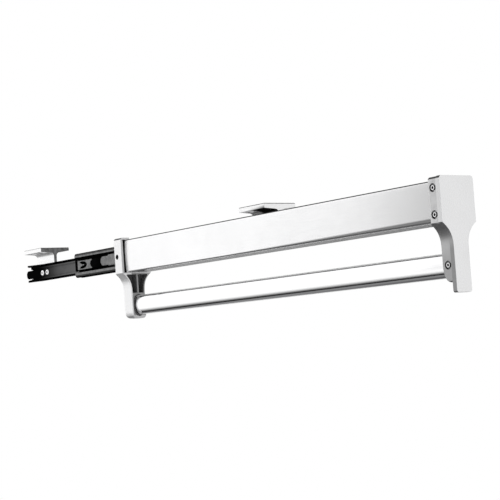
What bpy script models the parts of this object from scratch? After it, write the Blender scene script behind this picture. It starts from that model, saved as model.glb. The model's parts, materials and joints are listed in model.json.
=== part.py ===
"""Pull-out trouser rack: a slotted beam with a hanging rod, carried by a telescopic ball slide.

The slide hangs from two T brackets under a wardrobe shelf. Metres, +Z up, the rack pulls out along -Y.
The origin is the centre of the front bracket's top face. The pose is half pulled out.
"""

import math

import bmesh
import bpy
from mathutils import Matrix

MM = 0.001

# Fits
SEAT_GAP = 0.3 * MM  # between two faces that rest on each other
RUN_GAP = 0.25 * MM  # between faces that slide past each other
HOLE_GAP = 0.2 * MM  # around a screw or a rivet in its hole
CUT_MARGIN = 1.0 * MM  # how far a cutter runs past the face it opens

# T brackets
BRACKET_WIDTH = 37.0 * MM
BRACKET_LENGTH = 40.4 * MM
BRACKET_EDGE = 3.8 * MM
BRACKET_ROOT = 5.6 * MM
BRACKET_FILLET = 4.0 * MM
BRACKET_HOLE_X = 11.5 * MM
BRACKET_HOLE_Y = 12.0 * MM
BRACKET_HOLE_RADIUS = 2.2 * MM
BRACKET_SINK_RADIUS = 4.2 * MM
STEM_THICKNESS = 3.6 * MM
STEM_HEIGHT = 36.5 * MM

# Telescopic slide
RAIL_LENGTH = 500.0 * MM
RAIL_DROP = 27.5 * MM  # slide centre below the brackets' top faces
RAIL_OVERHANG = 22.2 * MM  # fixed rail ahead of the front bracket's centre
RAIL_TAIL = 46.1 * MM  # fixed rail behind the rear bracket's centre
MIDDLE_PULL = 135.4 * MM  # middle channels ahead of the fixed rail
CARRIAGE_PULL = 57.8 * MM  # moving rail ahead of the middle channels
SHEET = 0.9 * MM
RAIL_HEIGHT = 19.6 * MM
RAIL_WEB_HEIGHT = 12.6 * MM
RAIL_FLANGE = 1.65 * MM  # flange beyond its shoulder
RAIL_BEND = 0.4 * MM  # inside radius of a folded corner
TONGUE_HEIGHT = 9.8 * MM
TONGUE_LENGTH = 15.5 * MM
FLANGE_SETBACK = 10.5 * MM
CHANNEL_HEIGHT = 27.0 * MM
CHANNEL_BEND = 1.3 * MM
LIP_HEIGHT = 4.8 * MM
SPINE_GAP = 0.3 * MM
RIVET_RADIUS = 2.2 * MM
RIVET_PLACES = (60.0 * MM, 250.0 * MM, 440.0 * MM)
STOP_LENGTH = 32.0 * MM
STOP_HEIGHT = 10.2 * MM
STOP_THICKNESS = 2.8 * MM
STOP_INSET = 2.5 * MM
STOP_SLOT_LENGTH = 12.5 * MM  # C-shaped slot, measured on its middle line
STOP_SLOT_HEIGHT = 6.6 * MM
STOP_SLOT_WIDTH = 2.2 * MM
STOP_SLOT_SWEEP = 130  # degrees either side of its middle
BUMPER_LENGTH = 19.0 * MM
BUMPER_RADIUS = 3.4 * MM  # round end of the bumper, let into the stop plate
BUMPER_THICKNESS = 3.2 * MM

# Ball cages
CAGE_LENGTH = 200.0 * MM
CAGE_SHEET = 0.4 * MM
BALL_RADIUS = 1.05 * MM
BALLS_PER_SIDE = 4
BALL_PITCH = 56.0 * MM

# Beam
BEAM_WIDTH = 28.0 * MM
BEAM_HEIGHT = 34.0 * MM
BEAM_WALL = 1.5 * MM
BEAM_TOP_BEND = 0.6 * MM  # inside radii of the beam's corners
BEAM_BOTTOM_BEND = 0.5 * MM
BEAM_DROP = 9.8 * MM  # beam top below the brackets' top faces
BEAM_SLOT = 14.0 * MM

# End caps, front plate and legs
RAIL_INSET = 44.0 * MM  # moving rail's front end behind the front plate's face
CARRIAGE_TAIL = 38.0 * MM  # moving rail's rear end behind the rear cap's back
FRONT_WIDTH = 38.0 * MM
REAR_WIDTH = 36.0 * MM
CAP_HEIGHT = 37.8 * MM
CAP_DROP = 6.8 * MM  # caps' top below the brackets' top faces
FRONT_CAP_DEPTH = 9.8 * MM
REAR_CAP_DEPTH = 15.0 * MM
PLATE_THICKNESS = 4.2 * MM
PLATE_HEIGHT = 95.0 * MM
PLATE_CORNER = 2.6 * MM
LEG_WIDTH = 16.8 * MM
LEG_CORNER = 2.0 * MM
REAR_LEG_CORNER = 4.0 * MM
FRONT_LEG_DROP = 48.9 * MM  # leg's end below the cap's bottom
REAR_LEG_DROP = 48.6 * MM
FRONT_LEG_TOE = (9.0 * MM, 14.5 * MM)  # depth and height of the rounded back of the leg's end
REAR_LEG_TOE = (7.0 * MM, 9.0 * MM)
TOE_PULL = 0.4  # how far the toe's curve stays from its square corner
FLARE_HEIGHT = 19.5 * MM
FLARE_OUT_HANDLE = (5.5 * MM, 4.1 * MM)
FLARE_IN_HANDLE = 11.0 * MM
FRONT_SOCKET = 8.8 * MM
REAR_SOCKET = 12.6 * MM
REBATE_GAP = 2.0 * MM  # shadow gap beside the beam in the rear cap's mouth
REBATE_RISE = 0.8 * MM  # the same gap above the beam
REBATE_DEPTH = 5.0 * MM
POCKET_WALL = 1.4 * MM
POCKET_RIB = 2.0 * MM
POCKET_TOP = 1.6 * MM  # below the rear cap's bottom
POCKET_FLOOR = 21.4 * MM
POCKET_DEPTH = 9.0 * MM
RECESS_GAP = 1.6 * MM  # round the rod in the rear leg's face
RECESS_DEPTH = 2.5 * MM

# Hanging rod
ROD_HEIGHT = 20.7 * MM
ROD_WIDTH = 10.4 * MM
ROD_WALL = 1.2 * MM
ROD_DROP = 34.45 * MM  # rod centre below the caps' bottom
FRONT_ROD_SOCKET = 8.5 * MM
REAR_ROD_SOCKET = 12.5 * MM

# Fasteners
SIDE_HEAD_RADIUS = 2.35 * MM
SIDE_HEAD_HEIGHT = 1.9 * MM
SIDE_BORE_RADIUS = 3.2 * MM  # counterbore, wider than the head
SIDE_SHANK_RADIUS = 1.5 * MM
SIDE_SCREW_LENGTH = 7.5 * MM
PAN_HEAD_RADIUS = 3.4 * MM
PAN_HEAD_HEIGHT = 1.5 * MM
PAN_CROWN_RADIUS = 2.45 * MM  # flat top of the head, above its chamfer
PAN_RIM_HEIGHT = 0.75 * MM
PAN_SHANK_RADIUS = 1.7 * MM
SOCKET_RADIUS = 1.3 * MM
SOCKET_DEPTH = 0.9 * MM
CAP_SCREW_SETBACK = 8.3 * MM  # behind the front plate's face
CAP_SCREW_SPREAD = 22.0 * MM  # between the upper and the lower screw
REAR_SCREW_SETBACK = 6.0 * MM  # ahead of the rear cap's back
REAR_SCREW_BITE = 1.2 * MM
RAIL_SCREW_SPREAD = 11.4 * MM
RAIL_SCREW_BITE = 2.4 * MM
BEAM_SCREW_PLACES = (40.0 * MM, 250.0 * MM, 420.0 * MM)
BEAM_SCREW_BITE = 0.9 * MM
PLATE_SCREW_X = 8.0 * MM
PLATE_SCREW_BITE = 2.4 * MM
PLATE_SCREW_SINK = 3.0 * MM

# Facets
ARC_STEPS = 5
CURVE_STEPS = 8
ROUND_STEPS = 16
ROD_STEPS = 36
BALL_STEPS = (10, 8)  # round the ball and over it
SHARP_ANGLE = math.radians(35)
WELD = 1e-6

# Slide stack, as depths from a small rail's outer web face towards the spine
LIP_DEPTH = SHEET + RUN_GAP
SHOULDER_DEPTH = LIP_DEPTH + SHEET + RUN_GAP
FLANGE_END = SHOULDER_DEPTH + SHEET + RAIL_FLANGE
CAGE_WEB_DEPTH = FLANGE_END + RUN_GAP
SPINE_DEPTH = CAGE_WEB_DEPTH + CAGE_SHEET + RUN_GAP
SLIDE_DEPTH = SPINE_DEPTH + SHEET

# Places across the rack
FAR_WEB_X = -STEM_THICKNESS / 2 - SEAT_GAP
FAR_SPINE_X = FAR_WEB_X - SLIDE_DEPTH
NEAR_SPINE_X = FAR_SPINE_X - SPINE_GAP
NEAR_WEB_X = NEAR_SPINE_X - SLIDE_DEPTH
BEAM_X = NEAR_WEB_X - SEAT_GAP - BEAM_WALL + BEAM_WIDTH / 2

# Places along the rack
FIXED_Y = -RAIL_OVERHANG
MIDDLE_Y = FIXED_Y - MIDDLE_PULL
MOVING_Y = MIDDLE_Y - CARRIAGE_PULL
PLATE_Y = MOVING_Y - RAIL_INSET
FRONT_CAP_Y = PLATE_Y + PLATE_THICKNESS + SEAT_GAP
FRONT_CAP_BACK = FRONT_CAP_Y + FRONT_CAP_DEPTH
REAR_CAP_BACK = MOVING_Y + RAIL_LENGTH - CARRIAGE_TAIL
REAR_CAP_Y = REAR_CAP_BACK - REAR_CAP_DEPTH
FAR_CAGE_Y = (FIXED_Y + MIDDLE_Y + RAIL_LENGTH) / 2  # each cage stays midway along its two rails' overlap
NEAR_CAGE_Y = (MIDDLE_Y + MOVING_Y + RAIL_LENGTH - FLANGE_SETBACK) / 2

# Heights
CAP_TOP = -CAP_DROP
CAP_BOTTOM = CAP_TOP - CAP_HEIGHT
BEAM_TOP = -BEAM_DROP
BEAM_BOTTOM = BEAM_TOP - BEAM_HEIGHT
RAIL_Z = -RAIL_DROP
ROD_Z = CAP_BOTTOM - ROD_DROP
BALL_Z = (RAIL_HEIGHT + CHANNEL_HEIGHT - 2 * SHEET) / 4
BRACKETS = {"front": 0.0, "rear": FIXED_Y + RAIL_LENGTH - RAIL_TAIL}

TURN = {
    "X": Matrix(((0, 0, 1), (1, 0, 0), (0, 1, 0))).to_euler(),
    "Y": Matrix(((1, 0, 0), (0, 0, -1), (0, 1, 0))).to_euler(),
    "Z": Matrix.Identity(3).to_euler(),
}
FACING = {  # turns a piece's own +Z to face this way
    "-X": (0, -math.pi / 2, 0),
    "+X": (0, math.pi / 2, 0),
    "+Y": (-math.pi / 2, 0, 0),
    "+Z": (0, 0, 0),
    "-Z": (math.pi, 0, 0),
}


def start_scene():
    """Empty scene with a collection for the parts and one for the cutters."""
    for old in list(bpy.data.objects):
        bpy.data.objects.remove(old, do_unlink=True)
    made = []
    for name in ("pull_out_trouser_rack", "cutters"):
        collection = bpy.data.collections.new(name)
        bpy.context.scene.collection.children.link(collection)
        made.append(collection)
    return made


PARTS, CUTTERS = start_scene()


def finish_paint(name, colour, roughness, metallic):
    """A Principled material."""
    material = bpy.data.materials.new(name)
    material.use_nodes = True
    shader = material.node_tree.nodes["Principled BSDF"]
    shader.inputs["Base Color"].default_value = (*colour, 1.0)
    shader.inputs["Roughness"].default_value = roughness
    shader.inputs["Metallic"].default_value = metallic
    return material


ANODISED = finish_paint("anodised_aluminium", (0.80, 0.80, 0.81), 0.38, 0.9)
CAST = finish_paint("painted_casting", (0.72, 0.73, 0.74), 0.42, 0.6)
BLACK_STEEL = finish_paint("black_zinc", (0.06, 0.06, 0.065), 0.35, 0.8)
ZINC = finish_paint("bright_zinc", (0.48, 0.48, 0.49), 0.32, 0.9)
BRIGHT = finish_paint("bright_steel", (0.75, 0.75, 0.76), 0.22, 1.0)
POLYMER = finish_paint("cage_polymer", (0.16, 0.16, 0.17), 0.55, 0.0)
RUBBER = finish_paint("black_rubber", (0.02, 0.02, 0.02), 0.75, 0.0)


def body(name, y):
    """An empty on a slide's axis that carries the pieces which move together."""
    empty = bpy.data.objects.new(name, None)
    empty.location = (0, y, RAIL_Z)
    PARTS.objects.link(empty)
    return empty


def keep(obj, parent, material):
    """Files a finished piece under the body that carries it."""
    PARTS.objects.link(obj)
    obj.data.materials.append(material)
    obj.parent = parent
    obj.matrix_parent_inverse = Matrix.Translation(parent.location).inverted()
    obj.data.shade_smooth()
    obj.data.set_sharp_from_angle(angle=SHARP_ANGLE)
    return obj


def cutter(obj):
    """Files a piece that only cuts others."""
    CUTTERS.objects.link(obj)
    obj.hide_render = True
    obj.display_type = "WIRE"
    return obj


def cut(obj, tool):
    """Takes a cutter out of a piece."""
    boolean = obj.modifiers.new("cut_" + tool.name, "BOOLEAN")
    boolean.operation = "DIFFERENCE"
    boolean.solver = "EXACT"
    boolean.object = tool


def prism(name, loops, start, end, axis):
    """A body between two stations along an axis; the first loop is its outline, the others are holes."""
    curve = bpy.data.curves.new(name, "CURVE")
    curve.dimensions = "2D"
    curve.fill_mode = "BOTH"
    curve.extrude = (end - start) / 2
    for loop in loops:
        spline = curve.splines.new("POLY")
        spline.points.add(len(loop) - 1)
        for point, (u, v) in zip(spline.points, loop):
            point.co = (u, v, 0, 1)
        spline.use_cyclic_u = True
    guide = bpy.data.objects.new(name, curve)
    CUTTERS.objects.link(guide)
    graph = bpy.context.evaluated_depsgraph_get()
    mesh = bpy.data.meshes.new_from_object(guide.evaluated_get(graph))
    bpy.data.objects.remove(guide, do_unlink=True)
    bpy.data.curves.remove(curve)
    shape = bmesh.new()
    shape.from_mesh(mesh)
    bmesh.ops.remove_doubles(shape, verts=shape.verts, dist=WELD)
    bmesh.ops.recalc_face_normals(shape, faces=shape.faces)
    shape.to_mesh(mesh)
    shape.free()
    obj = bpy.data.objects.new(name, mesh)
    middle = (start + end) / 2
    obj.location = [middle if letter == axis else 0 for letter in "XYZ"]
    obj.rotation_euler = TURN[axis]
    return obj


def turned(name, profile, place, facing):
    """A body turned about its own Z from a profile of (radius, height), listed from the top down."""
    mesh = bpy.data.meshes.new(name)
    edges = [(i, i + 1) for i in range(len(profile) - 1)]
    mesh.from_pydata([(radius, 0, height) for radius, height in profile], edges, [])
    obj = bpy.data.objects.new(name, mesh)
    screw = obj.modifiers.new("turn", "SCREW")
    screw.axis = "Z"
    screw.steps = ROUND_STEPS
    screw.render_steps = ROUND_STEPS
    screw.use_merge_vertices = True
    screw.merge_threshold = WELD
    obj.location = place
    obj.rotation_euler = FACING[facing]
    return obj


def arc(centre, radius, start, end, steps=ARC_STEPS):
    """Points on an arc, with its angles in degrees."""
    points = []
    for i in range(steps + 1):
        angle = math.radians(start + (end - start) * i / steps)
        points.append((centre[0] + radius * math.cos(angle), centre[1] + radius * math.sin(angle)))
    return points


def ring(radius, steps=ROUND_STEPS):
    """A circle about the origin."""
    return arc((0, 0), radius, 0, 360 - 360 / steps, steps=steps - 1)


def bezier(p0, p1, p2, p3, steps=CURVE_STEPS):
    """Points on a cubic curve, both ends included."""
    points = []
    for i in range(steps + 1):
        t = i / steps
        s = 1 - t
        weights = (s**3, 3 * s * s * t, 3 * s * t * t, t**3)
        points.append(tuple(sum(w * p[k] for w, p in zip(weights, (p0, p1, p2, p3))) for k in (0, 1)))
    return points


def mirrored(half):
    """A closed loop from its right half, listed from the top to the bottom."""
    return half + [(-u, v) for u, v in reversed(half)]


def shifted(loop, du, dv):
    return [(u + du, v + dv) for u, v in loop]


def unit(a, b):
    length = math.dist(a, b)
    return ((b[0] - a[0]) / length, (b[1] - a[1]) / length)


def rounded_path(points, radii):
    """An open path whose inner corners are rounded by these radii."""
    path = [points[0]]
    for before, corner, after, radius in zip(points, points[1:], points[2:], radii):
        back = unit(corner, before)
        ahead = unit(corner, after)
        half_angle = math.acos(back[0] * ahead[0] + back[1] * ahead[1]) / 2
        reach = radius / math.tan(half_angle)
        first = (corner[0] + back[0] * reach, corner[1] + back[1] * reach)
        last = (corner[0] + ahead[0] * reach, corner[1] + ahead[1] * reach)
        aim = unit((0, 0), (back[0] + ahead[0], back[1] + ahead[1]))
        distance = radius / math.sin(half_angle)
        centre = (corner[0] + aim[0] * distance, corner[1] + aim[1] * distance)
        start = math.degrees(math.atan2(first[1] - centre[1], first[0] - centre[0]))
        end = math.degrees(math.atan2(last[1] - centre[1], last[0] - centre[0]))
        sweep = (end - start + 180) % 360 - 180
        path.extend(arc(centre, radius, start, start + sweep, steps=ARC_STEPS - 2))
    return path + [points[-1]]


def strip(path, thickness, overrun=0.0):
    """The outline of a sheet bent along an open path, with both ends run on."""
    first, last = unit(path[1], path[0]), unit(path[-2], path[-1])
    path = [(path[0][0] + first[0] * overrun, path[0][1] + first[1] * overrun)] + path[1:-1] + [
        (path[-1][0] + last[0] * overrun, path[-1][1] + last[1] * overrun)
    ]
    left, right = [], []
    for i, (u, v) in enumerate(path):
        into = unit(path[max(i - 1, 0)], path[max(i, 1)])
        out = unit(path[min(i, len(path) - 2)], path[min(i + 1, len(path) - 1)])
        normal = unit((0, 0), (-into[1] - out[1], into[0] + out[0]))
        reach = thickness / 2 / (normal[0] * -out[1] + normal[1] * out[0])
        left.append((u + normal[0] * reach, v + normal[1] * reach))
        right.append((u - normal[0] * reach, v - normal[1] * reach))
    return left + right[::-1]


def symmetric_path(upper, radii):
    """An open path from its upper half, mirrored about its middle line."""
    lower = [(u, -v) for u, v in reversed(upper)]
    return rounded_path(upper + lower, radii + radii[::-1])


def slide_section(path, thickness, web_x, towards):
    """A slide member's outline across the rack, from depths measured off a rail's web."""
    return [(web_x + towards * depth, RAIL_Z + height) for depth, height in strip(path, thickness)]


# Brackets and fasteners


def bracket(side, parent):
    """T bracket: a plate under the shelf and a stem that the fixed rail is screwed to."""
    stem = STEM_THICKNESS / 2
    half = [(BRACKET_WIDTH / 2, 0), (BRACKET_WIDTH / 2, -BRACKET_EDGE)]
    half += arc((stem + BRACKET_FILLET, -BRACKET_ROOT - BRACKET_FILLET), BRACKET_FILLET, 90, 180)
    half += [(stem, -STEM_HEIGHT)]
    centre = BRACKETS[side]
    start, end = centre - BRACKET_LENGTH / 2, centre + BRACKET_LENGTH / 2
    obj = prism(side + "_bracket", [mirrored(half)], start, end, "Y")
    sink = BRACKET_SINK_RADIUS - BRACKET_HOLE_RADIUS
    for x in (-BRACKET_HOLE_X, BRACKET_HOLE_X):
        for y in (centre - BRACKET_HOLE_Y, centre + BRACKET_HOLE_Y):
            profile = [
                (0, BRACKET_ROOT + CUT_MARGIN),
                (BRACKET_SINK_RADIUS, BRACKET_ROOT + CUT_MARGIN),
                (BRACKET_SINK_RADIUS, BRACKET_EDGE),
                (BRACKET_HOLE_RADIUS, BRACKET_EDGE - sink),
                (BRACKET_HOLE_RADIUS, -CUT_MARGIN),
                (0, -CUT_MARGIN),
            ]
            cut(obj, cutter(turned(f"{side}_shelf_hole", profile, (x, y, 0), "-Z")))
    return keep(obj, parent, ANODISED)


def pan_profile(length, grow=0.0):
    """Pan head screw, its seat at height 0."""
    return [
        (0, PAN_HEAD_HEIGHT + grow),
        (PAN_CROWN_RADIUS + grow, PAN_HEAD_HEIGHT + grow),
        (PAN_HEAD_RADIUS + grow, PAN_RIM_HEIGHT),
        (PAN_HEAD_RADIUS + grow, -grow),
        (PAN_SHANK_RADIUS + grow, -grow),
        (PAN_SHANK_RADIUS + grow, -length - grow),
        (0, -length - grow),
    ]


def side_profile(length):
    """Cylinder head screw, its flush face at height 0."""
    return [
        (0, 0),
        (SIDE_HEAD_RADIUS, 0),
        (SIDE_HEAD_RADIUS, -SIDE_HEAD_HEIGHT),
        (SIDE_SHANK_RADIUS, -SIDE_HEAD_HEIGHT),
        (SIDE_SHANK_RADIUS, -length),
        (0, -length),
    ]


def side_bore_profile(length):
    """Counterbored hole for a cylinder head screw."""
    seat = -SIDE_HEAD_HEIGHT - HOLE_GAP
    shank = SIDE_SHANK_RADIUS + HOLE_GAP
    end = -length - HOLE_GAP
    return [
        (0, CUT_MARGIN),
        (SIDE_BORE_RADIUS, CUT_MARGIN),
        (SIDE_BORE_RADIUS, seat),
        (shank, seat),
        (shank, end),
        (0, end),
    ]


def screw(name, profile, place, facing, parent):
    """A screw with a hexagon socket in its head."""
    obj = turned(name, profile, place, facing)
    top = profile[0][1]
    hexagon = arc((0, 0), SOCKET_RADIUS, 0, 300)
    tool = prism(name + "_socket", [hexagon], top - SOCKET_DEPTH, top + CUT_MARGIN, "Z")
    tool.parent = obj
    cut(obj, cutter(tool))
    return keep(obj, parent, BRIGHT)


# Slide


def rail_path():
    """Hat section of a small rail, in depth and height."""
    web = (RAIL_WEB_HEIGHT - SHEET) / 2
    flange = (RAIL_HEIGHT - SHEET) / 2
    shoulder = SHOULDER_DEPTH + SHEET / 2
    upper = [(FLANGE_END, flange), (shoulder, flange), (shoulder, web), (SHEET / 2, web)]
    bend = RAIL_BEND + SHEET / 2
    return symmetric_path(upper, [bend, bend, bend])


def channel_path():
    """Lipped section of a middle channel, in depth and height."""
    lip = LIP_DEPTH + SHEET / 2
    side = (CHANNEL_HEIGHT - SHEET) / 2
    spine = SPINE_DEPTH + SHEET / 2
    upper = [(lip, CHANNEL_HEIGHT / 2 - LIP_HEIGHT), (lip, side), (spine, side)]
    bend = CHANNEL_BEND + SHEET / 2
    return symmetric_path(upper, [bend, bend])


def cage_path():
    """Section of a ball cage, in depth and height."""
    web = CAGE_WEB_DEPTH + CAGE_SHEET / 2
    return symmetric_path([(SHOULDER_DEPTH + SHEET / 2, BALL_Z), (web, BALL_Z)], [CAGE_SHEET])


def tongue_loop(end):
    """What is cut off a rail's rear end, round its tongue and behind its flanges."""
    notch = end - TONGUE_LENGTH
    flange = end - FLANGE_SETBACK
    radius = TONGUE_HEIGHT / 2
    inner = RAIL_HEIGHT / 2 - SHEET - RAIL_BEND
    outer = RAIL_HEIGHT / 2 + CUT_MARGIN
    past = end + CUT_MARGIN
    upper = [(past, outer), (flange, outer), (flange, inner), (notch, inner), (notch, radius)]
    rounded = arc((end - radius, 0), radius, 90, -90, steps=2 * ARC_STEPS)
    lower = [(y, -z) for y, z in reversed(upper)]
    return shifted(upper + rounded + lower, 0, RAIL_Z)


def small_rail(name, front, web_x, towards, screw_places, parent, material):
    """Fixed or moving rail with its tongue and its screw holes."""
    end = front + RAIL_LENGTH
    obj = prism(name, [slide_section(rail_path(), SHEET, web_x, towards)], front, end, "Y")
    low, high = sorted((web_x - towards * CUT_MARGIN, web_x + towards * (FLANGE_END + CUT_MARGIN)))
    cut(obj, cutter(prism(name + "_tongue", [tongue_loop(end)], low, high, "X")))
    hole = ring(PAN_SHANK_RADIUS + HOLE_GAP)
    low, high = sorted((web_x - towards * CUT_MARGIN, web_x + towards * (SHEET + CUT_MARGIN)))
    for place in screw_places:
        tool = prism(name + "_hole", [shifted(hole, place, RAIL_Z)], low, high, "X")
        cut(obj, cutter(tool))
    return keep(obj, parent, material)


def middle_channel(name, web_x, towards, parent):
    """One of the two lipped channels that are riveted back to back."""
    section = slide_section(channel_path(), SHEET, web_x, towards)
    obj = prism(name, [section], MIDDLE_Y, MIDDLE_Y + RAIL_LENGTH, "Y")
    hole = ring(RIVET_RADIUS + HOLE_GAP)
    spine = (web_x + towards * (SPINE_DEPTH - CAGE_SHEET), web_x + towards * (SLIDE_DEPTH + SPINE_GAP / 2))
    for place in RIVET_PLACES:
        loop = shifted(hole, MIDDLE_Y + place, RAIL_Z)
        cut(obj, cutter(prism(name + "_rivet_hole", [loop], min(spine), max(spine), "X")))
    return keep(obj, parent, ZINC)


def spine_rivets(parent):
    """Flush rivets that join the two channels."""
    length = 2 * SHEET + SPINE_GAP
    for number, place in enumerate(RIVET_PLACES, 1):
        profile = [(0, 0), (RIVET_RADIUS, 0), (RIVET_RADIUS, -length), (0, -length)]
        at = (NEAR_SPINE_X - SHEET, MIDDLE_Y + place, RAIL_Z)
        keep(turned(f"spine_rivet_{number}", profile, at, "-X"), parent, BRIGHT)


def spine_stop(parent):
    """Stop plate with a C-shaped slot and its rubber bumper, at the rear end of the near channel."""
    back = MIDDLE_Y + RAIL_LENGTH - STOP_INSET
    front = back - STOP_LENGTH
    seat = NEAR_SPINE_X - SHEET - SEAT_GAP
    half = STOP_HEIGHT / 2
    outline = [(front, RAIL_Z + half)]
    outline += arc((front, RAIL_Z), BUMPER_RADIUS + SEAT_GAP, 90, -90, steps=2 * ARC_STEPS)
    outline += [(front, RAIL_Z - half), (back, RAIL_Z - half), (back, RAIL_Z + half)]
    circle = arc((0, 0), STOP_SLOT_HEIGHT / 2, -STOP_SLOT_SWEEP, STOP_SLOT_SWEEP, steps=2 * ARC_STEPS)
    stretch = STOP_SLOT_LENGTH / STOP_SLOT_HEIGHT
    middle = (front + back) / 2 + STOP_SLOT_WIDTH
    slot = strip([(middle - y * stretch, RAIL_Z + z) for y, z in circle], STOP_SLOT_WIDTH)
    plate = prism("slide_stop_plate", [outline, slot], seat - STOP_THICKNESS, seat, "X")
    keep(plate, parent, ZINC)
    start, end = front - BUMPER_LENGTH, front - SEAT_GAP
    block = [(start, RAIL_Z + half), (start, RAIL_Z - half), (end, RAIL_Z - half)]
    block += arc((front, RAIL_Z), BUMPER_RADIUS, -90, 90, steps=2 * ARC_STEPS)
    block += [(end, RAIL_Z + half)]
    keep(prism("slide_bumper", [block], seat - BUMPER_THICKNESS, seat, "X"), parent, RUBBER)


def ball_cage(name, centre, web_x, towards, parent):
    """Cage strip with its balls, between a small rail and a channel."""
    section = slide_section(cage_path(), CAGE_SHEET, web_x, towards)
    obj = prism(name + "_cage", [section], centre - CAGE_LENGTH / 2, centre + CAGE_LENGTH / 2, "Y")
    sphere = bpy.data.meshes.new(name)
    shape = bmesh.new()
    bmesh.ops.create_uvsphere(shape, u_segments=BALL_STEPS[0], v_segments=BALL_STEPS[1], radius=BALL_RADIUS)
    shape.to_mesh(sphere)
    shape.free()
    x = web_x + towards * (SHOULDER_DEPTH + SHEET + RAIL_FLANGE / 2)
    hole = ring(BALL_RADIUS + HOLE_GAP)
    for side, sign in (("upper", 1), ("lower", -1)):
        level = RAIL_Z + sign * BALL_Z
        for number in range(BALLS_PER_SIDE):
            y = centre + (number - (BALLS_PER_SIDE - 1) / 2) * BALL_PITCH
            low, high = level - CUT_MARGIN, level + CUT_MARGIN
            cut(obj, cutter(prism(name + "_ball_hole", [shifted(hole, x, y)], low, high, "Z")))
            ball = bpy.data.objects.new(f"{name}_{side}_ball_{number + 1}", sphere.copy())
            ball.location = (x, y, level)
            keep(ball, parent, BRIGHT)
    keep(obj, parent, POLYMER)


# Carriage


def beam_path():
    """Middle line of the beam's wall, from one slot edge to the other."""
    side = (BEAM_WIDTH - BEAM_WALL) / 2
    top = BEAM_TOP - BEAM_WALL / 2
    bottom = BEAM_BOTTOM + BEAM_WALL / 2
    half = [(BEAM_SLOT / 2, top), (side, top), (side, bottom)]
    upper = BEAM_TOP_BEND + BEAM_WALL / 2
    lower = BEAM_BOTTOM_BEND + BEAM_WALL / 2
    return rounded_path(mirrored(half), [upper, lower, lower, upper])


def flare(broad, narrow):
    """The side of a cap where its head draws in to the leg."""
    return bezier(
        (broad, CAP_BOTTOM),
        (broad - FLARE_OUT_HANDLE[0], CAP_BOTTOM - FLARE_OUT_HANDLE[1]),
        (narrow, CAP_BOTTOM - FLARE_HEIGHT + FLARE_IN_HANDLE),
        (narrow, CAP_BOTTOM - FLARE_HEIGHT),
    )


def cap_loop(width, top, bottom, foot):
    """Outline of a cap or the front plate: a broad head that flares in to a leg."""
    broad, narrow = width / 2, LEG_WIDTH / 2
    half = arc((broad - PLATE_CORNER, top - PLATE_CORNER), PLATE_CORNER, 90, 0)
    half += flare(broad, narrow)
    half += arc((narrow - foot, bottom + foot), foot, 0, -90)
    return shifted(mirrored(half), BEAM_X, 0)


def rod_loop(grow=0.0):
    """Oval outline of the rod, or of a socket around it."""
    wide, tall = ROD_WIDTH / 2 + grow, ROD_HEIGHT / 2 + grow
    return [(BEAM_X + wide * u, ROD_Z + tall * v) for u, v in ring(1.0, ROD_STEPS)]


def cut_beam_socket(obj, name, start, end):
    """Groove that takes the end of the beam."""
    loop = shifted(strip(beam_path(), BEAM_WALL + 2 * SEAT_GAP, overrun=SEAT_GAP), BEAM_X, 0)
    cut(obj, cutter(prism(name, [loop], start, end, "Y")))


def cut_toe(obj, name, back, towards, bottom, toe):
    """Rounds the back of a leg's end."""
    depth, height = toe
    curve = bezier(
        (back, bottom + height),
        (back, bottom + height * TOE_PULL),
        (back - towards * depth * TOE_PULL, bottom),
        (back - towards * depth, bottom),
    )
    far, low = back + towards * CUT_MARGIN, bottom - CUT_MARGIN
    loop = [(far, bottom + height), *curve, (back - towards * depth, low), (far, low)]
    cut(obj, cutter(prism(name, [loop], BEAM_X - LEG_WIDTH, BEAM_X + LEG_WIDTH, "X")))


def side_screws():
    """Screws in the near side: their places and lengths."""
    front = PLATE_Y + CAP_SCREW_SETBACK
    middle = (BEAM_TOP + BEAM_BOTTOM) / 2
    spread = CAP_SCREW_SPREAD / 2
    side, leg, rear = BEAM_X - FRONT_WIDTH / 2, BEAM_X - LEG_WIDTH / 2, BEAM_X - REAR_WIDTH / 2
    reach = (REAR_WIDTH - BEAM_WIDTH) / 2 + REAR_SCREW_BITE
    return {
        "front_cap_upper": ((side, front, middle + spread), SIDE_SCREW_LENGTH),
        "front_cap_lower": ((side, front, middle - spread), SIDE_SCREW_LENGTH),
        "front_leg": ((leg, front, ROD_Z), SIDE_SCREW_LENGTH),
        "rear_cap": ((rear, REAR_CAP_BACK - REAR_SCREW_SETBACK, middle), reach),
    }


def cut_side_screw(obj, name):
    """Counterbored hole for a screw in the near side."""
    place, length = side_screws()[name]
    cut(obj, cutter(turned(name + "_screw_hole", side_bore_profile(length), place, "-X")))


def plate_screw_place(sign):
    return (BEAM_X + sign * PLATE_SCREW_X, FRONT_CAP_BACK - PLATE_SCREW_SINK, RAIL_Z)


def plate_screw_length():
    return FRONT_CAP_DEPTH - PLATE_SCREW_SINK + SEAT_GAP + PLATE_SCREW_BITE


def cut_plate_screws(obj, name):
    """Counterbored holes for the two screws that hold the front plate."""
    for sign in (-1, 1):
        profile = [
            (0, PLATE_SCREW_SINK + CUT_MARGIN),
            (PAN_HEAD_RADIUS + HOLE_GAP, PLATE_SCREW_SINK + CUT_MARGIN),
            *pan_profile(plate_screw_length(), HOLE_GAP)[3:],
        ]
        cut(obj, cutter(turned(name + "_plate_screw_hole", profile, plate_screw_place(sign), "+Y")))


def front_plate(parent):
    """Flat front with its finger pull."""
    loop = cap_loop(FRONT_WIDTH, CAP_TOP, CAP_TOP - PLATE_HEIGHT, LEG_CORNER)
    obj = prism("front_plate", [loop], PLATE_Y, PLATE_Y + PLATE_THICKNESS, "Y")
    cut_plate_screws(obj, "front_plate")
    return keep(obj, parent, ANODISED)


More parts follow.
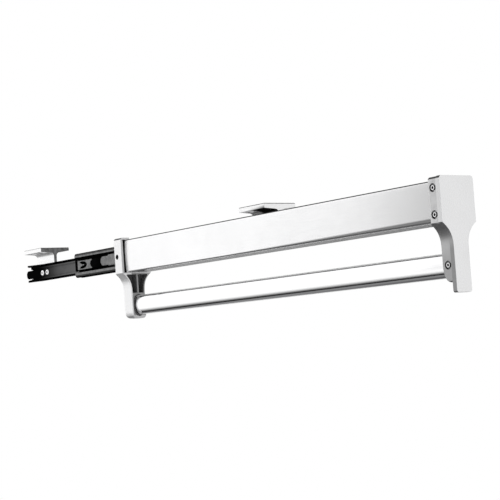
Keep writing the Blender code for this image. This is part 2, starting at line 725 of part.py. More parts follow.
def front_cap(parent):
    """Casting behind the front plate, with sockets for the beam and the rod."""
    loop = cap_loop(FRONT_WIDTH, CAP_TOP, CAP_BOTTOM - FRONT_LEG_DROP, LEG_CORNER)
    obj = prism("front_cap", [loop], FRONT_CAP_Y, FRONT_CAP_BACK, "Y")
    past = FRONT_CAP_BACK + CUT_MARGIN
    cut_beam_socket(obj, "front_beam_socket", FRONT_CAP_BACK - FRONT_SOCKET, past)
    socket = prism("front_rod_socket", [rod_loop(SEAT_GAP)], FRONT_CAP_BACK - FRONT_ROD_SOCKET, past, "Y")
    cut(obj, cutter(socket))
    cut_toe(obj, "front_toe", FRONT_CAP_BACK, 1, CAP_BOTTOM - FRONT_LEG_DROP, FRONT_LEG_TOE)
    for name in ("front_cap_upper", "front_cap_lower", "front_leg"):
        cut_side_screw(obj, name)
    cut_plate_screws(obj, "front_cap")
    return keep(obj, parent, CAST)


def rear_pockets():
    """Outlines of the two hollows in the rear leg, either side of its rib."""
    rib = POCKET_RIB / 2
    top, floor = CAP_BOTTOM - POCKET_TOP, CAP_BOTTOM - POCKET_FLOOR
    narrow = LEG_WIDTH / 2 - POCKET_WALL
    side = flare(REAR_WIDTH / 2 - POCKET_WALL, narrow)
    slope = [point for point in side if point[1] < top]
    right = [(rib, floor), (rib, top), (slope[0][0], top), *slope, (narrow, floor)]
    left = [(-u, v) for u, v in right]
    return shifted(left, BEAM_X, 0), shifted(right, BEAM_X, 0)


def rear_cap(parent):
    """Open frame round the beam's rear end, with a hollow leg for the rod."""
    loop = cap_loop(REAR_WIDTH, CAP_TOP, CAP_BOTTOM - REAR_LEG_DROP, REAR_LEG_CORNER)
    obj = prism("rear_cap", [loop], REAR_CAP_Y, REAR_CAP_BACK, "Y")
    before, past = REAR_CAP_Y - CUT_MARGIN, REAR_CAP_BACK + CUT_MARGIN
    side, slot = BEAM_WIDTH / 2 - BEAM_WALL, BEAM_SLOT / 2
    ceiling, floor = BEAM_TOP - BEAM_WALL, BEAM_BOTTOM + BEAM_WALL
    half = [(slot, CAP_TOP + CUT_MARGIN), (slot, ceiling), (side, ceiling), (side, floor)]
    opening = shifted(mirrored(half), BEAM_X, 0)
    cut(obj, cutter(prism("rear_opening", [opening], before, past, "Y")))
    cut_beam_socket(obj, "rear_beam_socket", before, REAR_CAP_Y + REAR_SOCKET)
    reach = BEAM_WIDTH / 2 + REBATE_GAP
    half = [(reach, BEAM_TOP + REBATE_RISE), (reach, BEAM_BOTTOM - SEAT_GAP)]
    mouth = shifted(mirrored(half), BEAM_X, 0)
    cut(obj, cutter(prism("rear_rebate", [mouth], before, REAR_CAP_Y + REBATE_DEPTH, "Y")))
    for loop in rear_pockets():
        cut(obj, cutter(prism("rear_pocket", [loop], before, REAR_CAP_Y + POCKET_DEPTH, "Y")))
    recess = prism("rear_recess", [rod_loop(RECESS_GAP)], before, REAR_CAP_Y + RECESS_DEPTH, "Y")
    cut(obj, cutter(recess))
    socket = prism("rear_rod_socket", [rod_loop(SEAT_GAP)], before, REAR_CAP_Y + REAR_ROD_SOCKET, "Y")
    cut(obj, cutter(socket))
    cut_toe(obj, "rear_toe", REAR_CAP_BACK, 1, CAP_BOTTOM - REAR_LEG_DROP, REAR_LEG_TOE)
    cut_side_screw(obj, "rear_cap")
    return keep(obj, parent, CAST)


def beam(parent):
    """Slotted beam between the caps."""
    start = FRONT_CAP_BACK - FRONT_SOCKET + SEAT_GAP
    end = REAR_CAP_Y + REAR_SOCKET - SEAT_GAP
    loop = shifted(strip(beam_path(), BEAM_WALL), BEAM_X, 0)
    obj = prism("beam", [loop], start, end, "Y")
    for name in ("front_cap_upper", "front_cap_lower", "rear_cap"):
        cut_side_screw(obj, name)
    for place in BEAM_SCREW_PLACES:
        profile = pan_profile(beam_screw_length(), HOLE_GAP)
        cut(obj, cutter(turned("beam_screw_hole", profile, beam_screw_place(place), "+X")))
    return keep(obj, parent, ANODISED)


def beam_screw_place(place):
    return (NEAR_WEB_X + SHEET + HOLE_GAP, MOVING_Y + place, RAIL_Z)


def beam_screw_length():
    return HOLE_GAP + SHEET + SEAT_GAP + BEAM_SCREW_BITE


def hanging_rod(parent):
    """Oval tube that the trousers hang over."""
    start = FRONT_CAP_BACK - FRONT_ROD_SOCKET + SEAT_GAP
    end = REAR_CAP_Y + REAR_ROD_SOCKET - SEAT_GAP
    obj = prism("hanging_rod", [rod_loop(), rod_loop(-ROD_WALL)], start, end, "Y")
    cut_side_screw(obj, "front_leg")
    return keep(obj, parent, ANODISED)


def build():
    """Every piece, body by body."""
    mount = body("mount", 0)
    far = body("far_ball_cage", FAR_CAGE_Y)
    middle = body("middle", MIDDLE_Y)
    near = body("near_ball_cage", NEAR_CAGE_Y)
    carriage = body("carriage", MOVING_Y)

    rail_screws = []
    stem_screw_length = SHEET + SEAT_GAP + RAIL_SCREW_BITE + HOLE_GAP
    head_x = FAR_WEB_X - SHEET - HOLE_GAP
    for side, centre in BRACKETS.items():
        plate = bracket(side, mount)
        for letter, sign in (("a", -1), ("b", 1)):
            y = centre + sign * RAIL_SCREW_SPREAD / 2
            rail_screws.append(y)
            place = (head_x, y, RAIL_Z)
            hole = pan_profile(stem_screw_length, HOLE_GAP)
            cut(plate, cutter(turned(side + "_stem_hole", hole, place, "-X")))
            screw(f"{side}_rail_screw_{letter}", pan_profile(stem_screw_length), place, "-X", mount)
    small_rail("fixed_rail", FIXED_Y, FAR_WEB_X, -1, rail_screws, mount, BLACK_STEEL)

    ball_cage("far", FAR_CAGE_Y, FAR_WEB_X, -1, far)
    middle_channel("far_middle_channel", FAR_WEB_X, -1, middle)
    middle_channel("near_middle_channel", NEAR_WEB_X, 1, middle)
    spine_rivets(middle)
    spine_stop(middle)
    ball_cage("near", NEAR_CAGE_Y, NEAR_WEB_X, 1, near)

    beam_screws = [MOVING_Y + place for place in BEAM_SCREW_PLACES]
    small_rail("moving_rail", MOVING_Y, NEAR_WEB_X, 1, beam_screws, carriage, ZINC)
    for number, place in enumerate(BEAM_SCREW_PLACES, 1):
        at = beam_screw_place(place)
        screw(f"moving_rail_screw_{number}", pan_profile(beam_screw_length()), at, "+X", carriage)
    beam(carriage)
    front_plate(carriage)
    front_cap(carriage)
    for sign, letter in ((-1, "a"), (1, "b")):
        profile = pan_profile(plate_screw_length())
        screw(f"plate_screw_{letter}", profile, plate_screw_place(sign), "+Y", carriage)
    rear_cap(carriage)
    hanging_rod(carriage)
    for name, (place, length) in side_screws().items():
        screw(name + "_screw", side_profile(length), place, "-X", carriage)


build()
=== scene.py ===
"""Looks of the pull-out trouser rack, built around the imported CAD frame."""

import json
import math

import bmesh
import bpy
from mathutils import Matrix, Vector


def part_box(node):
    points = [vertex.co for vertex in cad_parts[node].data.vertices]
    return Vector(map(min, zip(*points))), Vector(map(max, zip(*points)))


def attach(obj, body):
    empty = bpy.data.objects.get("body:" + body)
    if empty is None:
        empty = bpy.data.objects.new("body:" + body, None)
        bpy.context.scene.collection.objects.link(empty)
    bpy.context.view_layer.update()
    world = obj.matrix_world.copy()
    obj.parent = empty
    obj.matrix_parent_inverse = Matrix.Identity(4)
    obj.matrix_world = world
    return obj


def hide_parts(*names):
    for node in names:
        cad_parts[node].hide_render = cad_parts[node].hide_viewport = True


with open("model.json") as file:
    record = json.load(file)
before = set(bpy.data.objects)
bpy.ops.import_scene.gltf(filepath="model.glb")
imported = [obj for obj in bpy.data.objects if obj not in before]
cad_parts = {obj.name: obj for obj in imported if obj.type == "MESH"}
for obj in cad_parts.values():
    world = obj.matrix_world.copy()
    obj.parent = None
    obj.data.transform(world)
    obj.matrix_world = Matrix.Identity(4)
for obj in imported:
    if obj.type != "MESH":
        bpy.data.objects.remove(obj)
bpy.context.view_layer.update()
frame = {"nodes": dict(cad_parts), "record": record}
NODES = frame["nodes"]
BODIES = frame["record"]["behaviour"]["bodies"]
BOXES = {name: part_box(name) for name in NODES}
MIDDLES = {name: (low + high) / 2 for name, (low, high) in BOXES.items()}
MM = 0.001
Y_AXIS, Z_AXIS = 1, 2

# Camera, fitted to the photograph's edges
CAMERA_PLACE = (-0.87739, -1.14552, -0.13971)
CAMERA_YAW = math.radians(36.70)  # turned from +Y towards +X
CAMERA_PITCH = math.radians(3.90)
CAMERA_ROLL = math.radians(-4.01)
CAMERA_CLIP = (0.01, 200.0)
FOCAL_PIXELS = 1523.34
IMAGE_PIXELS = 500
SENSOR = 36.0

# Floor
FLOOR_Z = -0.32
FLOOR_REACH = 40.0
WHITE = (1, 1, 1, 1)

# Light of each part of the room that the metal mirrors
DRAPE = (0.08, 0.08, 0.08)
PANEL = (1.12, 1.12, 1.12)
FRONT_LEFT = (0.72, 0.72, 0.725)
FRONT_MIDDLE = (0.98, 0.98, 0.98)
FRONT_RIGHT = (0.8, 0.8, 0.8)
FOLD_PALE = (0.22, 0.22, 0.222)
FOLD_DARK = (0.1, 0.1, 0.1)
CEILING = (0.95, 0.95, 0.95)
GROUND = (0.62, 0.62, 0.625)
TABLE_RIM = (0.0, 0.0, 0.0)
TABLE_TOP = (0.24, 0.24, 0.245)
TABLE_NEAR = (0.06, 0.06, 0.06)

# Spans of a direction's parts over which one part of the room gives way to another
ACROSS = Vector((0.85, 0.53, 0.0))  # from the left panel, over a dark drape, to the main panel
PANEL_SPAN = (-0.26, -0.2)
SIDE_SPAN = (-0.35, -0.45)  # the left panel
SIDE_SHARE = 0.9
FRONT_SPAN = (0.0, -0.25)
FRONT_MIDDLE_SPAN = (0.35, 0.5)
FRONT_RIGHT_SPAN = (0.6, 0.7)
FOLD_SIDE_SPAN = (0.45, 0.53)  # a folded drape hangs behind on the right
FOLD_BACK_SPAN = (0.05, 0.35)
FOLD_TOP_SPAN = (0.5, 0.2)
FOLD_FOOT_SPAN = (-0.34, -0.22)
FOLD_DARK_SPAN = (0.6, 0.69)
CEILING_SPAN = (0.62, 0.85)
GROUND_SPAN = (-0.3, -0.6)
TOWARDS_TABLE = Vector((1.0, 0.95, 0.0))  # a dark table stands below and behind the rack
TABLE_REACH_SPAN = (-0.03, 0.05)
TABLE_LEVEL_SPAN = (-0.16, -0.48)
TABLE_SIDE_SPAN = (0.35, 0.1)
TABLE_TOP_SPAN = (-0.49, -0.55)
TABLE_NEAR_SPAN = (-0.58, -0.74)

# Finishes
MIX_COLOURS = (6, 7)  # sockets of a Mix node that blends colours
MIX_RESULT = 2
COOL = 1.005  # blue of a grey
NOISE_ROUGHNESS = 0.55
NOISE_SPAN = (0.3, 0.7)  # values of a noise between which a finish changes
PATCH = 0.03  # cells of the wandering colour in a millimetre
PATCH_DETAIL = 4.0
GRAIN_DETAIL = 3.0
SPECULAR = 0.5
RUB_GRAIN = 0.2  # cells of the rubbed edges in a millimetre
RUB_SPAN = (0.35, 0.75)
UNDERSIDE_SHADE_SPAN = (-0.02, -0.32)  # Z of a normal over which faces turned down take on painted shade
# Z of a normal over which painted shade comes in on rounded upper edges, and over which it goes
# again towards level tops
EDGE_SHADE_START = (0.15, 0.35)
EDGE_SHADE_END = (0.99, 0.955)
ALONG = (1, 0.02, 1)  # stretch of a grain that runs along Y
UPRIGHT = (1, 1, 0.03)  # and of one that stands up

# Mesh work
WELD = 1e-6
TOUCH = WELD * 10  # how near a place counts as on a face
SNUG = 0.1 * MM  # how near a place counts as on an outline
FLAT_ANGLE = math.radians(0.5)
SHARP_ANGLE = math.radians(40)
SHADE_ANGLE = math.radians(60)
ROUND_PROFILE = 0.5
EDGE_SEGMENTS = 2
ROUND_SEGMENTS = 3  # of the large roundings

# Parts of a face's normal along an axis
FACING = 0.5  # from here the face looks along the axis
SQUARE = 0.9  # from here it is square to the axis
LEVEL = 0.99  # from here it is level
TILT = 0.2  # from here, along Z, it no longer stands upright

# Beam and rod
BEAM_CROWN = 0.35 * MM
BEAM_LEVELS = 8
BEAM_SKIN = 3.0 * MM  # covers its lower or upper wall with the corners
BEAM_SAG = 0.5 * MM  # of its lower wall
BEAM_RISE = 0.6 * MM  # of its upper wall
BEAM_LINE = 0.55  # Z of a normal from which its upper rounding is painted as a dark line of shade
BEAM_BELOW = 0.6  # the same downwards, for its underside, which is painted a little darker as shade
ROD_TOP = 0.68  # Z of a normal from which the rod's topside starts, which gets a duller copy of the rod's finish as painted light

# Screws
SIDE_SCREWS = (
    "front_cap_upper_screw",
    "front_cap_lower_screw",
    "front_leg_screw",
    "rear_cap_screw",
)
SCREW_SOCKET = 1.45 * MM  # a little wider than the hexagon in a screw's head
SCREW_RIM = 0.3  # X of a normal up to which a face belongs to a side screw's rim
SCREW_BORE = 3.3 * MM  # a little wider than the counterbore round a side screw
BORE_WALL = 0.3 * MM  # how far inside that the counterbore's wall may stand
BORE_FLOOR = 1.0 * MM  # how far past a side screw its counterbore may reach
HEAD_SHARE = 0.84  # visible width of a side screw's head
BORE_SHARE = 1.15  # visible width of its counterbore
REAR_SCREW_SHARE = 0.75  # the rear cap's screw is smaller

# Front plate
SEAM = 0.3 * MM  # between the front plate and its cap
PLATE_TOP = 1.5 * MM  # taller than the rounding of its upper edge
PLATE_RISE = 0.3 * MM  # of its top
PLATE_FAR = 0.3  # X and Y of a normal from which a face is on its far front edge, painted as a dark line of shade

# Caps
CAP_ROUND = 1.7 * MM  # of the caps' upper edges at the back
CAP_CORNER = 2.65 * MM  # how far inside a cap's box its rounded corners reach
CAP_SHOULDER = 0.9 * MM  # how far below the beam the rounding goes on
REAR_HEAD = 1.2 * MM  # from the beam down to the lower end of the rear cap's head
REAR_FOOT = 0.4 * MM  # from the rod down to the upper end of its foot
REAR_FACE = 0.2 * MM  # how near its front a face counts as on the front
REAR_BACK = 0.5 * MM  # how near its back a face counts as on the back
REAR_CORE = 1.2 * MM  # how near its middle a face counts as inside
REAR_SOLE = 1.2 * MM  # a little thinner than its sole
REAR_POCKET = 2.0 * MM  # from the rod up to the leg's pocket
REBATE_TRIM = 0.5 * MM  # off the shadow gap beside the beam in the rear cap
REBATE_SPAN = (1.8 * MM, 2.7 * MM)  # the gap's wall stands this far beside the beam
REBATE_DEPTH = 5.2 * MM  # a little deeper than the gap
REBATE_BELOW = 0.5 * MM  # how far the gap's wall reaches below the beam
REBATE_ABOVE = 1.5 * MM  # and above it

# Brackets
BRACKET_PLATE = 5.4 * MM  # depth below the top in which the shelf holes lie
BRACKET_HOLE = 1.5 * MM  # a shelf hole lies further than this inside the plate
BRACKET_SIDE = 0.7  # X of a normal from which a face is on the near side
EDGE_DROP = 0.9 * MM  # of the brackets' near lower edges
EDGE_REACH = 1.0 * MM  # how near the near side such an edge lies
EDGE_SPAN = (4.8 * MM, 2.5 * MM)  # and how far below the top

# Rails and channels
RAIL_WEB = 7.0 * MM  # half the height of the fixed rail's pale field, outside which it is painted black as shade
RAIL_FIELD = 6.0 * MM  # the same on the moving rail
PRONG_FLARE = 48.0 * MM  # where the fixed rail's edges start to widen, from its end
PRONG_REACH = 25.0 * MM  # and where its prongs start
PRONG_DEPTH = 1.4 * MM  # covers a prong from the rail's edge
PRONG_OUTER = 0.8 * MM  # covers its outer side
PRONG_RISE = 1.1 * MM  # of the upper prong's outer side
PRONG_LIFT = (0.6 * MM, 2.1 * MM)  # of the lower prong's outer and inner sides
LIP_LEVELS = (9.1 * MM, 9.6 * MM, 10.2 * MM, 10.7 * MM)  # embossed line on a channel's lip
LIP_RISE = 0.25 * MM
LIP_EDGE = 8.7 * MM  # from the channel's middle to the edge of its lip
LIP_GROWTH = 0.7 * MM  # of the lower lip
LIP_DEPTH = 1.0 * MM  # a little thicker than a lip
LIP_FACE = 0.5 * MM  # how near the outer side a face counts as on the outside of a lip
CHANNEL_BEND = 11.0 * MM  # from the channel's middle to the bend of its lip
CHANNEL_BELOW = 0.45  # Z of a normal, downwards, from which the bend is painted black as shade

# Stop plate
STOP_END = 1.0 * MM  # end of the stop plate that is painted black as shade
STOP_TIP = 0.5 * MM  # the part of it that is moved
STOP_REACH = 4.6 * MM
STOP_SPREAD = 1.25  # of its height there
SLOT_ZONE = (9.5 * MM, 4.6 * MM)  # half the length and height of the place of its slot
SLOT_CENTRE = 2.2 * MM  # of the C-shaped slot, from the plate's middle
SLOT_SHIFT = 2.0 * MM
SLOT_SHARES = (1.35, 0.9)  # of its length and height
TONGUE_OVAL = 1.9  # length of an oval round the slot's tongue, in heights of the oval
TONGUE_REACH = 3.3 * MM  # half the height of that oval
TONGUE_SHARE = 0.32  # what is left of the tongue

# Rounding of edges in millimetres
TOP_ROUNDS = {"front_plate": 1.2, "front_bracket": 0.9, "rear_bracket": 0.6}  # upper edges
PLAIN_ROUND = 0.15
SPECIAL = {  # coat and rounding
    "beam": ("beam", 0.0),
    "hanging_rod": ("rod", 0.2),
    "front_plate": ("plate", 0.4),
    "front_cap": ("front_cast", 0.6),
    "rear_cap": ("rear_cast", 0.5),
    "front_bracket": ("bracket", 0.6),
    "rear_bracket": ("bracket", 0.6),
    "slide_bumper": ("black_rubber", 0.4),
    "slide_stop_plate": ("bright_zinc", 0.25),
    "fixed_rail": ("black_zinc", 0.15),
    "moving_rail": ("bright_zinc", 0.15),
    "near_middle_channel": ("bright_zinc", 0.15),
    "far_middle_channel": ("bright_zinc", 0.15),
    "near_cage": ("cage_polymer", 0.0),
    "far_cage": ("cage_polymer", 0.0),
}


class Graph:
    """Adds nodes to a shader tree."""

    def __init__(self, tree):
        self.tree = tree
        tree.nodes.clear()

    def add(self, kind, sockets=None, **settings):
        """A node with these settings; a socket's value is a constant or another node's output."""
        node = self.tree.nodes.new("ShaderNode" + kind)
        for name, value in settings.items():
            setattr(node, name, value)
        for name, value in (sockets or {}).items():
            if isinstance(value, bpy.types.NodeSocket):
                self.tree.links.new(value, node.inputs[name])
            else:
                node.inputs[name].default_value = value
        return node

    def place(self, kind):
        """A coordinate of the shaded place."""
        return self.add("TexCoord").outputs[kind]

    def parts(self, vector):
        return self.add("SeparateXYZ", {"Vector": vector}).outputs

    def dot(self, vector, axis):
        """How far a vector goes along an axis."""
        node = self.add("VectorMath", {0: vector, 1: axis}, operation="DOT_PRODUCT")
        return node.outputs["Value"]

    def math(self, operation, a, b):
        return self.add("Math", {0: a, 1: b}, operation=operation).outputs[0]

    def spread(self, value, low, high, to_low=0.0, to_high=1.0):
        """A value mapped smoothly from one range to another."""
        sockets = {
            "Value": value,
            "From Min": low,
            "From Max": high,
            "To Min": to_low,
            "To Max": to_high,
        }
        return self.add("MapRange", sockets, interpolation_type="SMOOTHSTEP").outputs["Result"]

    def blend(self, share, a, b):
        """One colour fading into another."""
        node = self.add("Mix", {"Factor": share}, data_type="RGBA")
        for place, colour in zip(MIX_COLOURS, (a, b)):
            if isinstance(colour, bpy.types.NodeSocket):
                self.tree.links.new(colour, node.inputs[place])
            else:
                node.inputs[place].default_value = (*colour, 1)
        return node.outputs[MIX_RESULT]

    def noise(self, scale, detail=GRAIN_DETAIL, stretch=(1, 1, 1)):
        """Noise fixed to the piece, with its scale in cells per millimetre along each axis."""
        size = [scale * s / MM for s in stretch]
        sockets = {"Vector": self.place("Object"), "Scale": size}
        mapped = self.add("Mapping", sockets).outputs["Vector"]
        sockets = {
            "Vector": mapped,
            "Scale": 1.0,
            "Detail": detail,
            "Roughness": NOISE_ROUGHNESS,
        }
        return self.add("TexNoise", sockets).outputs["Fac"]


def aim_camera():
    """Camera at the photograph's viewpoint."""
    data = bpy.data.cameras.new("camera")
    data.sensor_width = SENSOR
    data.lens = FOCAL_PIXELS / IMAGE_PIXELS * SENSOR
    data.clip_start, data.clip_end = CAMERA_CLIP
    ahead = Vector((
        math.sin(CAMERA_YAW) * math.cos(CAMERA_PITCH),
        math.cos(CAMERA_YAW) * math.cos(CAMERA_PITCH),
        math.sin(CAMERA_PITCH),
    ))
    right = Vector((math.cos(CAMERA_YAW), -math.sin(CAMERA_YAW), 0))
    up = right.cross(ahead)
    c, s = math.cos(CAMERA_ROLL), math.sin(CAMERA_ROLL)
    turned_right, turned_up = c * right + s * up, c * up - s * right
    turn = Matrix((turned_right, turned_up, -ahead)).transposed()
    camera = bpy.data.objects.new("camera", data)
    camera.matrix_world = Matrix.Translation(CAMERA_PLACE) @ turn.to_4x4()
    bpy.context.scene.collection.objects.link(camera)
    bpy.context.scene.camera = camera


def build_world():
    """White room for the camera; soft boxes and dark drapes for what the metal mirrors."""
    world = bpy.data.worlds.new("studio")
    bpy.context.scene.world = world
    world.use_nodes = True
    g = Graph(world.node_tree)
    way = g.place("Generated")
    across = g.dot(way, ACROSS)
    x, y, z = g.parts(way)
    panels = g.math(
        "MAXIMUM", g.spread(across, *PANEL_SPAN), g.spread(across, *SIDE_SPAN, 0.0, SIDE_SHARE)
    )
    light = g.blend(panels, DRAPE, PANEL)

    front = g.blend(g.spread(x, *FRONT_MIDDLE_SPAN), FRONT_LEFT, FRONT_MIDDLE)
    front = g.blend(g.spread(x, *FRONT_RIGHT_SPAN), front, FRONT_RIGHT)
    light = g.blend(g.spread(y, *FRONT_SPAN), light, front)

    behind = g.math("MULTIPLY", g.spread(x, *FOLD_SIDE_SPAN), g.spread(y, *FOLD_BACK_SPAN))
    level = g.math("MULTIPLY", g.spread(z, *FOLD_TOP_SPAN), g.spread(z, *FOLD_FOOT_SPAN))
    fold = g.blend(g.spread(x, *FOLD_DARK_SPAN), FOLD_PALE, FOLD_DARK)
    light = g.blend(g.math("MULTIPLY", behind, level), light, fold)

    light = g.blend(g.spread(z, *CEILING_SPAN), light, CEILING)
    light = g.blend(g.spread(z, *GROUND_SPAN), light, GROUND)

    table = g.blend(g.spread(z, *TABLE_TOP_SPAN), TABLE_RIM, TABLE_TOP)
    table = g.blend(g.spread(z, *TABLE_NEAR_SPAN), table, TABLE_NEAR)
    reach = g.spread(g.dot(way, TOWARDS_TABLE), *TABLE_REACH_SPAN)
    edge = g.math("MULTIPLY", reach, g.spread(z, *TABLE_LEVEL_SPAN))
    low = g.math("MAXIMUM", g.spread(x, *TABLE_SIDE_SPAN), g.spread(z, *TABLE_TOP_SPAN))
    light = g.blend(g.math("MULTIPLY", edge, low), light, table)

    studio = g.add("Background", {"Color": light, "Strength": 1.0})
    white = g.add("Background", {"Color": WHITE, "Strength": 1.0})
    seen = g.add("LightPath").outputs["Is Camera Ray"]
    mixed = g.add("MixShader", {0: seen, 1: studio.outputs[0], 2: white.outputs[0]})
    g.add("OutputWorld", {"Surface": mixed.outputs[0]})


def build_floor():
    """Plain pale floor below the rack."""
    mesh = bpy.data.meshes.new("floor")
    sides = ((-1, -1), (1, -1), (1, 1), (-1, 1))
    corners = [(x * FLOOR_REACH, y * FLOOR_REACH, FLOOR_Z) for x, y in sides]
    mesh.from_pydata(corners, [], [(0, 1, 2, 3)])
    material = bpy.data.materials.new("floor")
    material.use_nodes = True
    g = Graph(material.node_tree)
    glow = g.add("Emission", {"Color": WHITE, "Strength": 1.0})
    g.add("OutputMaterial", {"Surface": glow.outputs[0]})
    mesh.materials.append(material)
    floor = bpy.data.objects.new("floor", mesh)
    bpy.context.scene.collection.objects.link(floor)
    floor.visible_diffuse = False
    floor.visible_glossy = False
    floor.visible_shadow = False


def finish(name, colours, metallic, roughness, grain, bump, stretch=(1, 1, 1), **more):
    """A finish with colour that wanders and fine grain in its gloss and relief.

    colours and roughness are ranges, grain is in cells per millimetre, and bump is a strength
    and a height in millimetres. wear is the colour of rubbed edges; tarnish is the colour of
    painted shade on rounded upper edges, which starts over the span in band; belly is
    that of painted shade on faces turned down; and each of fades is a colour of painted light or
    shade with an axis and the two places between which it takes over.
    """
    material = bpy.data.materials.new(name)
    material.use_nodes = True
    g = Graph(material.node_tree)
    broad = g.noise(more.get("patch", PATCH), PATCH_DETAIL)
    fine = g.noise(grain, GRAIN_DETAIL, stretch)
    colour = g.blend(g.spread(broad, *NOISE_SPAN), *colours)
    for other, axis, start, end in more.get("fades", ()):
        along = g.dot(g.place("Object"), axis)
        colour = g.blend(g.spread(along, start, end), colour, other)
    if "wear" in more:
        edge = g.add("Attribute", attribute_name="edge").outputs["Fac"]
        rubbed = g.math("MULTIPLY", edge, g.spread(g.noise(RUB_GRAIN), *RUB_SPAN))
        colour = g.blend(rubbed, colour, more["wear"])
    # painted shade on faces turned down
    if "belly" in more:
        up = g.parts(g.place("Normal"))["Z"]
        colour = g.blend(g.spread(up, *UNDERSIDE_SHADE_SPAN), colour, more["belly"])
    # painted shade along rounded upper edges
    if "tarnish" in more:
        up = g.parts(g.place("Normal"))["Z"]
        rise = g.spread(up, *more.get("band", EDGE_SHADE_START))
        band = g.math("MULTIPLY", rise, g.spread(up, *EDGE_SHADE_END))
        colour = g.blend(band, colour, more["tarnish"])
    sockets = {"Strength": bump[0], "Distance": bump[1] * MM, "Height": fine}
    relief = g.add("Bump", sockets).outputs["Normal"]
    sockets = {
        "Base Color": colour,
        "Metallic": metallic,
        "Roughness": g.spread(fine, *NOISE_SPAN, *roughness),
        "Normal": relief,
        "Specular IOR Level": more.get("specular", SPECULAR),
    }
    shader = g.add("BsdfPrincipled", sockets)
    g.add("OutputMaterial", {"Surface": shader.outputs[0]})
    return material


def grey(level):
    return (level, level, level * COOL)


def shades(low, high):
    return grey(low), grey(high)


OUTLINE = grey(0.3)
